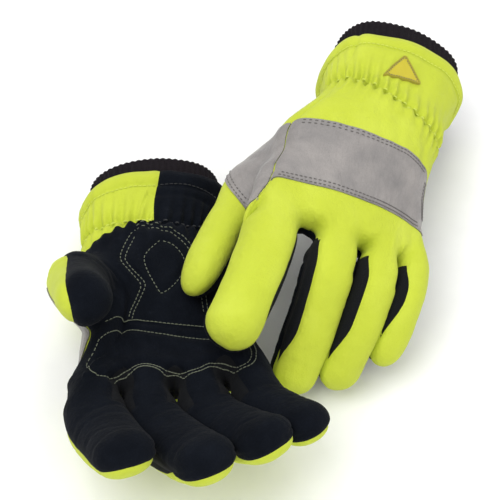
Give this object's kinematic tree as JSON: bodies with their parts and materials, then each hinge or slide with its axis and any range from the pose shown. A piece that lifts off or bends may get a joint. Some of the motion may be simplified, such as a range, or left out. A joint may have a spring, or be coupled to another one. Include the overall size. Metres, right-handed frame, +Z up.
{
  "type": "insulated high-visibility work gloves",
  "caption": "Pair of insulated high-visibility winter work gloves, left laid over right, with reflective bands, suede palms, gauntlets and rib-knit inner cuffs.",
  "frame": {"origin": "centre of the bounding box on the surface that the pair lies on", "axes": "+Z up, -Y towards the fingertips, +X towards the left-hand glove; the right-hand glove lies palm up at -X, the left-hand glove palm down at +X"},
  "size_m": [0.2311, 0.3057, 0.1026],
  "materials": {
    "shell_yellow": "fluorescent yellow bonded softshell, matte",
    "suede_black": "navy-black synthetic suede, matte",
    "side_black": "black stretch fabric, matte",
    "reflective_grey": "grey glass-bead reflective tape, satin",
    "knit_black": "black rib knit",
    "liner_fleece": "dark pile lining",
    "elastic_white": "woven elastic"
  },
  "bodies": {
    "left_hand": {"left_cuff_back": "shell_yellow", "left_cuff_palm": "suede_black", "left_hand_back": "shell_yellow", "left_hand_liner": "liner_fleece", "left_hand_palm": "suede_black", "left_heel_pad": "suede_black", "left_knit_cuff": "knit_black", "left_knuckle_pad": "suede_black", "left_reflective_band": "reflective_grey", "left_reflective_band_side": "reflective_grey", "left_wrist_elastic": "elastic_white"},
    "left_index": {"left_index_back": "shell_yellow", "left_index_fourchette": "side_black", "left_index_front": "suede_black", "left_index_liner": "liner_fleece"},
    "left_little": {"left_little_back": "shell_yellow", "left_little_fourchette": "side_black", "left_little_front": "suede_black", "left_little_liner": "liner_fleece"},
    "left_middle": {"left_middle_back": "shell_yellow", "left_middle_fourchette": "side_black", "left_middle_front": "suede_black", "left_middle_liner": "liner_fleece"},
    "left_ring": {"left_ring_back": "shell_yellow", "left_ring_fourchette": "side_black", "left_ring_front": "suede_black", "left_ring_liner": "liner_fleece"},
    "left_thumb": {"left_thumb_back": "shell_yellow", "left_thumb_front": "suede_black", "left_thumb_liner": "liner_fleece"},
    "right_hand": {"right_cuff_back": "shell_yellow", "right_cuff_palm": "suede_black", "right_hand_back": "shell_yellow", "right_hand_liner": "liner_fleece", "right_hand_palm": "suede_black", "right_heel_pad": "suede_black", "right_knit_cuff": "knit_black", "right_knuckle_pad": "suede_black", "right_reflective_band": "reflective_grey", "right_reflective_band_side": "reflective_grey", "right_wrist_elastic": "elastic_white"},
    "right_index": {"right_index_back": "shell_yellow", "right_index_fourchette": "side_black", "right_index_front": "suede_black", "right_index_liner": "liner_fleece"},
    "right_little": {"right_little_back": "shell_yellow", "right_little_fourchette": "side_black", "right_little_front": "suede_black", "right_little_liner": "liner_fleece"},
    "right_middle": {"right_middle_back": "shell_yellow", "right_middle_fourchette": "side_black", "right_middle_front": "suede_black", "right_middle_liner": "liner_fleece"},
    "right_ring": {"right_ring_back": "shell_yellow", "right_ring_fourchette": "side_black", "right_ring_front": "suede_black", "right_ring_liner": "liner_fleece"},
    "right_thumb": {"right_thumb_back": "shell_yellow", "right_thumb_front": "suede_black", "right_thumb_liner": "liner_fleece"}
  },
  "joints": [
    {"name": "left_glove_lift", "type": "slide", "parent": "right_hand", "child": "left_hand", "axis": [0, 0, 1], "range_m": [0, 0.15]},
    {"name": "right_thumb_bend", "type": "hinge", "parent": "right_hand", "child": "right_thumb", "pos_m": [-0.08206, -0.00766, 0.05553], "axis": [-0.6159, 0.4714, 0.6312], "range_deg": [0, 40], "stiffness_Nm_per_rad": 0.03},
    {"name": "right_index_bend", "type": "hinge", "parent": "right_hand", "child": "right_index", "pos_m": [-0.08591, -0.08169, 0.05462], "axis": [-0.9509, -0.2955, 0.0917], "range_deg": [0, 60], "stiffness_Nm_per_rad": 0.03},
    {"name": "right_middle_bend", "type": "hinge", "parent": "right_hand", "child": "right_middle", "pos_m": [-0.0578, -0.08119, 0.04735], "axis": [-0.922, -0.3732, 0.1036], "range_deg": [0, 60], "stiffness_Nm_per_rad": 0.03},
    {"name": "right_ring_bend", "type": "hinge", "parent": "right_hand", "child": "right_ring", "pos_m": [-0.03, -0.07539, 0.04471], "axis": [-0.8913, -0.439, 0.1132], "range_deg": [0, 60], "stiffness_Nm_per_rad": 0.03},
    {"name": "right_little_bend", "type": "hinge", "parent": "right_hand", "child": "right_little", "pos_m": [-0.00384, -0.06621, 0.04598], "axis": [-0.8817, -0.4576, 0.1151], "range_deg": [0, 50], "stiffness_Nm_per_rad": 0.03},
    {"name": "left_thumb_bend", "type": "hinge", "parent": "left_hand", "child": "left_thumb", "pos_m": [-0.01705, 0.05342, 0.07275], "axis": [0.7805, -0.2266, 0.5827], "range_deg": [-30, 0], "stiffness_Nm_per_rad": 0.03},
    {"name": "left_index_bend", "type": "hinge", "parent": "left_hand", "child": "left_index", "pos_m": [0.01805, 0.00329, 0.08042], "axis": [0.8938, -0.241, -0.3782], "range_deg": [-30, 0], "stiffness_Nm_per_rad": 0.03},
    {"name": "left_middle_bend", "type": "hinge", "parent": "left_hand", "child": "left_middle", "pos_m": [0.0438, -0.00499, 0.07087], "axis": [0.9245, -0.1035, -0.3669], "range_deg": [-45, 0], "stiffness_Nm_per_rad": 0.03},
    {"name": "left_ring_bend", "type": "hinge", "parent": "left_hand", "child": "left_ring", "pos_m": [0.06991, -0.0086, 0.05995], "axis": [0.9211, -0.1241, -0.369], "range_deg": [-45, 0], "stiffness_Nm_per_rad": 0.03},
    {"name": "left_little_bend", "type": "hinge", "parent": "left_hand", "child": "left_little", "pos_m": [0.09478, -0.0087, 0.04751], "axis": [0.9142, -0.1599, -0.3724], "range_deg": [-45, 0], "stiffness_Nm_per_rad": 0.03}
  ]
}
